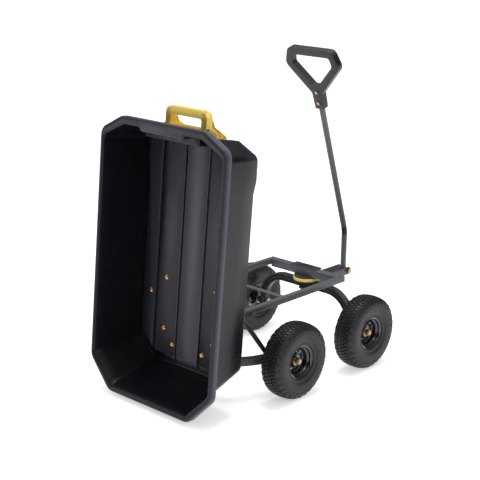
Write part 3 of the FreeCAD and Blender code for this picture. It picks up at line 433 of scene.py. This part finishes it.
# %% Turned rim
rim = turned("rim", rounded([
    (-31, 57, 1), (-31, 49.5, 4), (-22.5, 49.5, 3), (-18.5, 42, 3), (-5, 42, 4), (-3, 27, 4),
    (-8, 17.05), (-3, 17.05), (3, 27, 5), (1, 40, 3), (4, 42.5, 3), (18.5, 42.5, 3), (22.5, 49.5, 3),
    (29, 49.5, 5), (31.0, 54, 2), (32.4, 56.8, 1), (31.2, 58.2, 1), (30.0, 56.5, 1), (29.4, 52, 2),
    (21, 52, 3), (17, 44.5, 3), (-17, 44.5, 3), (-21, 52, 3), (-29.5, 52, 2), (-29.5, 57, 1)],
    steps=3), steps=72)
smooth(rim, 40)
valve = turned("valve", rounded([(0, 0), (0, 3.6, 1), (6, 4.6, 1), (9, 2.6), (26, 2.6, 0.4), (26, 3.3),
                                 (33, 3.3, 0.8), (33, 0)], steps=3), steps=16, closed=False)
VALVE_LEAN = math.radians(-12)
place(valve, Matrix.Translation((0, 14 * MM, 43 * MM)) @ Matrix.Rotation(VALVE_LEAN, 4, "X"))

# %% [markdown]
# The four wheels are copies of the one modelled, each with its own mesh, set on the stub
# axles that the CAD gives, with the outer side turned outwards.

# %% Set the four wheels
for end in ("front", "rear"):
    for side in ("left", "right"):
        key = end + "_" + side
        low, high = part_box("tyre_" + key)
        centre = (Vector(low) + Vector(high)) / 2
        turn = 0 if side == "left" else math.pi
        spot = Matrix.Translation(centre) @ Matrix.Rotation(turn, 4, "Z")
        spin = Matrix.Rotation(math.radians({"front": 20, "rear": 47}[end]), 4, "Y")
        body = "wheel_" + key
        settle(place(copied(tyre, "tyre_" + key + "_tread"), spot @ spin), body, "tyre_rubber",
               "tyre_" + key)
        settle(place(copied(rim, "rim_" + key + "_pressed"), spot), body, "rim_paint", "rim_" + key)
        settle(place(copied(valve, "valve_" + key), spot @ spin), body, "tube_rubber")
for model in (tyre, rim, valve):
    bpy.data.objects.remove(model)

# %% [markdown]
# ## Tub
# Rotomoulded polyethylene: sloping walls, chamfered corners, a wide rolled rim with a skirt,
# and a pocket in the front wall for the release handle.  It is modelled as one skin from the
# mouth downwards, ring by ring, and gets its wall thickness at the end.

# %% The rings of the tub, in its own level frame
RIM_PLANE = 201.0
MIDDLE = 158.0


FLOOR_DEPTH = 186.0
FLOOR_REAR = -372.0
TIPPED_BY = 84.25
CORNER_STEPS = 5


def ring(half, height):
    """Round the corners of a half outline, mirror it and give its places in the bed's frame."""
    whole = list(half) + [(u, -v) + tuple(rest) for u, v, *rest in reversed(half)]
    line = rounded([(u + MIDDLE, v) + tuple(rest) for u, v, *rest in whole], CORNER_STEPS)
    return [Vector((x, y, height + RIM_PLANE)) * MM for x, y in line]


RINGS = [
    ring(((423, 92), (436, 101), (436, 176, 30), (390, 274, 30), (306, 274), (262, 274),
          (-352, 274, 34), (-445, 178, 34)), -4),
    ring(((431, 112), (432, 122), (432.5, 173, 28), (388, 268, 28), (306, 268), (262, 267),
          (-343, 267, 34), (-431, 175, 34)), -37),
    ring(((403, 120), (430, 126), (431, 172, 28), (387.5, 266, 28), (306, 266), (262, 264),
          (-340, 264, 34), (-427, 174, 34)), -50),
    ring(((403, 120), (424, 126), (425, 166, 25), (384, 255, 26), (306, 255), (262, 250),
          (-323, 250, 32), (-400, 170, 32)), -118),
    ring(((402, 118), (417, 124), (418, 160, 20), (380, 244, 24), (306, 245), (262, 236),
          (-306, 236, 30), (FLOOR_REAR, 166, 30)), -FLOOR_DEPTH)]
LIP = ((454.5, 92), (454.5, 101), (454.5, 189, 30), (406.5, 281.5, 32), (306, 281.5),
       (262, 281.5), (-362, 281.5, 36), (-457.5, 187, 36))
FLANGE = [ring(LIP, -4), ring(LIP, -25)]


def move_ring(obj, old, new):
    """Move the selected ring of verts from its old places to new ones."""
    cage = bmesh.from_edit_mesh(obj.data)
    for vert in [v for v in cage.verts if v.select]:
        nearest = min(range(len(old)), key=lambda i: (vert.co - old[i]).length)
        vert.co = new[nearest]
    bmesh.update_edit_mesh(obj.data)


tub = drawn("tub", [(p.x / MM, p.y / MM) for p in RINGS[0]])
place(tub, Matrix.Translation((0, 0, RINGS[0][0].z)))
edit(tub)
bpy.ops.mesh.edge_face_add()
for upper, lower in zip(RINGS, RINGS[1:]):
    bpy.ops.mesh.extrude_region_move(TRANSFORM_OT_translate={"value": (0, 0, 0)})
    move_ring(tub, upper, lower)
pick(tub, "faces", lambda f: min(v.co.z for v in f.verts) > RINGS[0][0].z - 1e-5)
bpy.ops.mesh.delete(type="ONLY_FACE")
bpy.ops.mesh.select_mode(type="EDGE")
pick(tub, "edges", lambda e: e.is_boundary)
for upper, lower in zip([RINGS[0], FLANGE[0]], FLANGE):
    bpy.ops.mesh.extrude_region_move(TRANSFORM_OT_translate={"value": (0, 0, 0)})
    move_ring(tub, upper, lower)
bpy.ops.mesh.select_all(action="SELECT")
bpy.ops.mesh.normals_make_consistent(inside=False)
if min(bmesh.from_edit_mesh(tub.data).faces, key=lambda f: f.calc_center_median().z).normal.z > 0:
    bpy.ops.mesh.flip_normals()
bpy.ops.mesh.select_all(action="DESELECT")
bpy.ops.mesh.edges_select_sharp(sharpness=math.radians(20))
bpy.ops.mesh.bevel(offset=6 * MM, segments=3, affect="EDGES", clamp_overlap=True)
bpy.ops.object.mode_set(mode="OBJECT")
print("tub skin:", len(tub.data.polygons), "faces")

# %% [markdown]
# The floor is stiffened by raised panels with narrow grooves between them.  The flat floor is
# inset and cut along the middle of each groove; each panel is inset again and lifted, so it
# gets sloping flanks, and its rear end is pulled back into a bevelled nose.

# %% Floor panels and grooves
GROOVES = (54.0, 162.0)
GROOVE_HALF = 4.6
PANEL_LIFT = 11.0
FLOOR_LEVEL = (RIM_PLANE - FLOOR_DEPTH) * MM
REAR_MARGIN = (MIDDLE + FLOOR_REAR + 4) * MM


def on_floor(face):
    return abs(face.calc_center_median().z - FLOOR_LEVEL) < 2e-4 and abs(face.normal.z) > 0.99


edit(tub, "FACE")
pick(tub, "faces", lambda f: on_floor(f) and f.calc_area() > 0.05)
bpy.ops.mesh.inset(thickness=8 * MM, depth=0)
for centre in (-GROOVES[1], -GROOVES[0], GROOVES[0], GROOVES[1]):
    for edge in (centre - GROOVE_HALF, centre + GROOVE_HALF):
        pick(tub, "faces", lambda f: on_floor(f) and f.calc_area() > 0.015
             and min(v.co.x for v in f.verts) > REAR_MARGIN)
        bpy.ops.mesh.bisect(plane_co=(0, edge * MM, 0), plane_no=(0, 1, 0))
panels = 0
for low, high in ((-240, -164), (-160, -56), (-52, 52), (56, 160), (164, 240)):
    panels += pick(tub, "faces", lambda f: on_floor(f) and f.calc_area() > 0.01
                   and low * MM < f.calc_center_bounds().y < high * MM
                   and min(v.co.x for v in f.verts) > REAR_MARGIN)
    bpy.ops.mesh.inset(thickness=2.2 * MM, depth=-PANEL_LIFT * MM)
pick(tub, "verts", lambda v: v.co.z > FLOOR_LEVEL + (PANEL_LIFT - 1) * MM
     and v.co.z < FLOOR_LEVEL + (PANEL_LIFT + 1) * MM and v.co.x < (MIDDLE - 290) * MM)
bpy.ops.transform.translate(value=(20 * MM, 0, 0))
print("raised panels on the floor:", panels)
bpy.ops.mesh.select_mode(type="EDGE")
pick(tub, "edges", lambda e: all(abs(v.co.z - FLOOR_LEVEL - PANEL_LIFT * MM) < 1e-4 for v in e.verts))
bpy.ops.mesh.bevel(offset=2.0 * MM, segments=2, affect="EDGES", clamp_overlap=True)
bpy.ops.object.mode_set(mode="OBJECT")
modifier(tub, "SOLIDIFY", thickness=4 * MM, offset=-1.0, use_even_offset=False)
hinge = JOINT["bed_tip"]
tipped = Matrix.Translation(hinge["pos_m"]) @ Matrix.Rotation(math.radians(-TIPPED_BY), 4, "Y")
place(tub, tipped)
settle(smooth(tub, 30), "bed", "tub_plastic", "bed_tub")

# %% [markdown]
# Zinc-plated carriage bolts hold the hinge brackets to the floor and the release bracket to
# the front wall: a low dome inside the tub and a hexagon nut outside.

# %% Carriage bolts of the floor and the front wall
FLOOR_BOLTS = ((-78, 116), (-138, 188), (-254, 116), (-302, 71))
WALL_BOLTS = (-108, -35, 35, 108)
RECESS_FACE = 403.0
UPRIGHT = Matrix.Rotation(math.pi / 2, 4, "X")


def nut(name, low, high, width, bore):
    """A hexagon nut between two places along Y; width is across the flats."""
    corners = [(width / math.sqrt(3) * math.cos(math.radians(60 * i)),
                width / math.sqrt(3) * math.sin(math.radians(60 * i))) for i in range(6)]
    hole = [(bore * math.cos(math.radians(20 * i)), bore * math.sin(math.radians(20 * i)))
            for i in range(18)]
    made = plate(name, [corners, hole] if bore else [corners], high - low, bevel=0.7)
    return place(made, standing_y(high))


def carriage_bolt(name, top, face, end, head, shank):
    """Dome on top, shank down to its end and a nut against the face; all along Y."""
    stem = turned(name, rounded([(end, 0), (end, shank, 0.6), (top - 0.5, shank), (top - 0.5, head),
                                 (top + 1.2, head, 0.8), (top + 4.2, head * 0.55, 6), (top + 4.8, 0)],
                                3), steps=24, closed=False)
    return joined(name, [smooth(stem), nut("nut", face - 5.5, face, 11.4, 0)])


floor_bolts = []
for u, v in FLOOR_BOLTS:
    for side in (1, -1):
        made = carriage_bolt("bolt", 30, 11.9, 4.2, 10, 3.9)
        floor_bolts.append(place(made, Matrix.Translation(Vector((u + MIDDLE, side * v, 0)) * MM)
                                 @ UPRIGHT))
settle(place(joined("floor_bolts", floor_bolts), tipped), "bed", "zinc_plate", "bed_bolts")
wall_bolts = []
for v in WALL_BOLTS:
    made = carriage_bolt("bolt", 4.4, -1.2, -7.4, 8.5, 2.9)
    wall_bolts.append(place(made, Matrix.Translation(Vector((RECESS_FACE + MIDDLE, v, RIM_PLANE - 80)) * MM)
                            @ Matrix.Rotation(math.pi / 2, 4, "Z")))
settle(place(joined("front_wall_bolts", wall_bolts), tipped), "bed", "zinc_plate", "wall_bolts")

# %% [markdown]
# Each wheel is held by a copper-coloured washer, a castle nut and a bent split pin.

# %% Axle washers, castle nuts and split pins
NUT_STACK = 13.0
PIN_TURN = math.radians(62)
for end, body in (("front", "front_axle"), ("rear", "chassis")):
    washers, nuts = [], []
    axle = JOINT["wheel_spin_" + end + "_left"]["pos_m"]
    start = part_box(end + "_axle_nuts")[1][1] / MM - NUT_STACK
    for side in (1, -1):
        spot = Matrix.Translation((axle[0], 0, axle[2]))
        if side < 0:
            spot = spot @ Matrix.Rotation(math.pi, 4, "Z")
        ring_line = rounded([(start, 8.3), (start, 16, 0.5), (start + 2.2, 16, 0.8),
                             (start + 2.2, 8.3)], 2)
        washers.append(place(turned("washer", ring_line, steps=40), spot))
        castle = nut("castle nut", start + 2.3, start + 9, 22, 8.2)
        crown = turned("crown", rounded([(start + 9, 8.2), (start + 9, 10.2), (start + 13, 10.2, 0.8),
                                         (start + 13, 8.2)], 2), steps=24)
        stub = turned("stub end", rounded([(start + 3, 0), (start + 3, 8.0), (start + 14, 8.0, 1.2),
                                           (start + 14.2, 0)], 3), steps=24, closed=False)
        split = turned("split pin", [(-13, 0), (-13, 1.3), (13, 1.3), (13, 0)], 10, closed=False)
        place(split, Matrix.Translation((0, (start + 11.5) * MM, 0))
              @ Matrix.Rotation(PIN_TURN, 4, "Y") @ UPRIGHT)
        nuts.append(place(joined("castle nut", [castle, crown, stub, split]), spot))
    settle(smooth(joined(end + "_washers", washers)), body, "zinc_plate", end + "_axle_nuts")
    settle(smooth(joined(end + "_castle_nuts", nuts)), body, "bolt_steel")

# %% [markdown]
# ## D-grip
# A moulded nylon loop with a neck that sleeves the tube.  Outer line and window are drawn
# flat, the space between them is filled and extruded, and the edges get a wide round.

# %% Grip in its leaning plane
LEAN = math.radians(16.7)
GRIP_DEPTH = 24.0
grip = plate("grip", [
    rounded([(497, -19, 4), (556, -22, 14), (660, -121, 28), (722, -99, 24), (722, 99, 24),
             (660, 121, 28), (556, 22, 14), (497, 19, 4)]),
    rounded([(586, -12, 8), (664, -89, 14), (696, -82, 12), (696, 82, 12), (664, 89, 14),
             (586, 12, 8)])], GRIP_DEPTH, bevel=6, segments=4)
bend = Vector((580, 0, 402)) * MM
grip_place = (Matrix.Translation(bend) @ Matrix.Rotation(-LEAN, 4, "Y")
              @ Matrix.Translation((GRIP_DEPTH / 2 * MM, 0, 0)) @ Matrix.Rotation(-math.pi / 2, 4, "Y"))
settle(place(grip, grip_place), "pull_handle", "grip_plastic", "handle_grip")

# %% [markdown]
# ## Release handle
# Glass-filled nylon in a bright colour.  The loop is a plate with a window; two side plates
# reach down past the pin, with ribbed pockets on their outer faces, and a web joins them.

# %% Loop, side plates and web
RELEASE_SIDE = [(503, -103, 8), (503, -118, 8), (473, -135, 14), (453, -145, 10),
                (445, -160, 10), (420, -199, 4), (411, -199, 3), (411, -178, 10),
                (430, -126, 20), (430, -103, 8)]
RIBS = ((436, -112), (449, -122), (462, -128), (440, -140), (429, -158), (423, -178))


def in_bed(points):
    """Distances ahead of the bed's middle and over the rim plane, in the hinge frame."""
    return [(u + MIDDLE, w + RIM_PLANE) + tuple(rest) for u, w, *rest in points]


loop_outer = rounded([(430 + MIDDLE, -91, 6), (503 + MIDDLE, -91, 22), (503 + MIDDLE, 91, 22),
                      (430 + MIDDLE, 91, 6)])
loop_window = rounded([(447 + MIDDLE, -70, 8), (477 + MIDDLE, -70, 9), (477 + MIDDLE, 70, 9),
                       (447 + MIDDLE, 70, 8)])
loop = plate("loop", [loop_outer, loop_window], 27, bevel=5, segments=3)
place(loop, Matrix.Translation((0, 0, (RIM_PLANE - 130) * MM)))
release = [loop]
for low in (-91, 70):
    side = plate("side", [rounded(in_bed(RELEASE_SIDE), 4)], 21, bevel=0,
                 carve=((2.6, 0), (0.4, -7.5)))
    place(side, standing_y(low + 21))
    envelope = plate("envelope", [rounded([(400 + MIDDLE, -91), (503 + MIDDLE, -91, 22),
                                           (503 + MIDDLE, 91, 22), (400 + MIDDLE, 91)])], 130, bevel=0)
    place(envelope, Matrix.Translation((0, 0, (RIM_PLANE - 215) * MM)))
    modifier(side, "BOOLEAN", object=envelope, operation="INTERSECT", solver="EXACT")
    bpy.data.objects.remove(envelope)
    release.append(smooth(side))
    for u, w in RIBS:
        rib = plate("rib", [in_bed([(u - 8, w), (u - 7, w - 1.6), (u + 8, w + 7), (u + 7, w + 8.6)])],
                    20.4, bevel=0)
        release.append(place(rib, standing_y(low + 20.7)))
web = plate("web", [in_bed([(428, -128), (434, -128), (425, -176), (422.5, -181), (417, -181),
                            (418, -176)])], 142, bevel=0.6)
release.append(place(web, standing_y(71)))
release_piece = place(joined("release_handle_moulded", release), tipped)
settle(release_piece, "release_lever", "yellow_plastic", "release_handle")

# %% [markdown]
# ## Axle arches
# Pressed channels, stiffened by ridges that follow their curve.  The band is filled and
# extruded, and both faces are inset and stepped so that a ridge stands along the middle.

# %% Front arch and rear hoop
BAND = 24.0
AXLE_HEIGHT = 130.0
WHEEL_BASE = 369.0
RIDGE = ((5, 0), (1.2, -3.5), (4.2, 0), (1.0, 3.0))
arch = plate("arch", [rounded([(-219, 114), (-219, 260, 114), (219, 260, 114), (219, 114),
                               (191, 114), (191, 232, 86), (-191, 232, 86), (-191, 114)], 16)],
             BAND, bevel=1.4, segments=2, carve=RIDGE)
settle(place(arch, standing_x(WHEEL_BASE - BAND / 2)), "front_axle", "frame_paint", "front_axle_arch")
hoop = plate("hoop", [rounded([(16, -212), (-219.8, -212, 212), (-219.8, 212, 212), (16, 212),
                               (16, 184), (-191.8, 184, 184), (-191.8, -184, 184), (16, -184)], 24)],
             BAND, bevel=1.4, segments=2, carve=RIDGE)
lift = Matrix.Translation((0, 0, (AXLE_HEIGHT - BAND / 2) * MM))
settle(place(hoop, lift), "chassis", "frame_paint", "rear_axle_hoop")

# %% [markdown]
# ## Steelwork
# Tubes and folded plates have small rounded edges that catch the light.  Each is a merged
# copy of its CAD node with its flat faces cleaned up and its sharp edges bevelled.

# %% Soften the edges of the steel
BODY_OF = {node: body for body, nodes in frame["record"]["behaviour"]["bodies"].items()
           for node in nodes}
STEEL = {"frame_rail_left": 1.4, "frame_rail_right": 1.4, "front_crossbar": 1.2, "mid_brace": 0.8,
         "rear_crossbar": 1.2, "latch_plate": 0.6, "hinge_ear_left": 0.8, "hinge_ear_right": 0.8,
         "axle_strut_left": 1.4, "axle_strut_right": 1.4, "tongue": 0.9, "release_bracket": 0.5,
         "steering_disc": 1.2, "pivot_plate": 0.6}
for name, width in STEEL.items():
    piece = copied(frame["nodes"][name], name + "_softened")
    piece.parent = None
    edit(piece)
    bpy.ops.mesh.remove_doubles(threshold=1e-5)
    bpy.ops.mesh.dissolve_limited(angle_limit=math.radians(1.0))
    bpy.ops.mesh.select_mode(type="EDGE")
    bpy.ops.mesh.select_all(action="DESELECT")
    bpy.ops.mesh.edges_select_sharp(sharpness=math.radians(35))
    bpy.ops.mesh.bevel(offset=width * MM, segments=2, affect="EDGES", clamp_overlap=True)
    bpy.ops.object.mode_set(mode="OBJECT")
    settle(smooth(piece), BODY_OF[name], SLOT_OF[name], name)
print(len(STEEL), "steel parts softened; tube, sleeve and bearings keep their CAD meshes")

# %% [markdown]
# ## Room, light and camera
# A pale floor that glows a little, a soft sky and three panels, as in a product studio.

# %% Floor, light and camera
bpy.ops.object.select_all(action="DESELECT")
bpy.ops.mesh.primitive_plane_add(size=40)
floor = bpy.context.object
floor.name = "floor"
floor_finish = surface("studio floor", ("#f4f4f4", "#f6f6f6"), 900, 30, 0.02, (0.7, 0.8),
                       Emission_Color=(1, 1, 1, 1), Emission_Strength=0.5)
floor.data.materials.append(floor_finish)
world = bpy.data.worlds.new("studio")
bpy.context.scene.world = world
world.use_nodes = True
world.node_tree.nodes["Background"].inputs["Color"].default_value = (1, 1, 1, 1)
world.node_tree.nodes["Background"].inputs["Strength"].default_value = 0.14


def panel(name, spot, aim, size, power):
    light = bpy.data.lights.new(name, "AREA")
    light.shape = "RECTANGLE"
    light.size, light.size_y = size
    light.energy = power
    holder = bpy.data.objects.new(name, light)
    bpy.context.collection.objects.link(holder)
    holder.location = spot
    holder.rotation_euler = (Vector(aim) - Vector(spot)).to_track_quat("-Z", "Y").to_euler()


sky = bpy.data.lights.new("sky panel", "SUN")
sky.energy = 1.8
sky.angle = math.radians(120)
sky_holder = bpy.data.objects.new("sky panel", sky)
bpy.context.collection.objects.link(sky_holder)
panel("key", (-3.0, 2.7, 1.0), (-0.2, 0, 0.5), (1.1, 2.0), 20)
panel("fill", (-0.5, -4.0, 2.2), (0, 0, 0.4), (2.5, 1.2), 24)
panel("top", (0.3, 0.0, 4.2), (0, 0, 0.3), (1.6, 1.6), 75)
camera = bpy.data.cameras.new("camera")
viewer = bpy.data.objects.new("camera", camera)
bpy.context.collection.objects.link(viewer)
yaw, pitch = math.radians(43.84), math.radians(16.6)
gaze = Vector((math.cos(pitch) * math.cos(yaw), math.cos(pitch) * math.sin(yaw), -math.sin(pitch)))
aim = Vector((-0.1093, -0.1258, 0.5322))
viewer.location = aim - gaze * 4.0
viewer.rotation_euler = gaze.to_track_quat("-Z", "Y").to_euler()
camera.lens = 93.17
camera.sensor_width = 36
camera.shift_y = 0.0024
bpy.context.scene.camera = viewer
bpy.context.scene.view_settings.view_transform = "Standard"
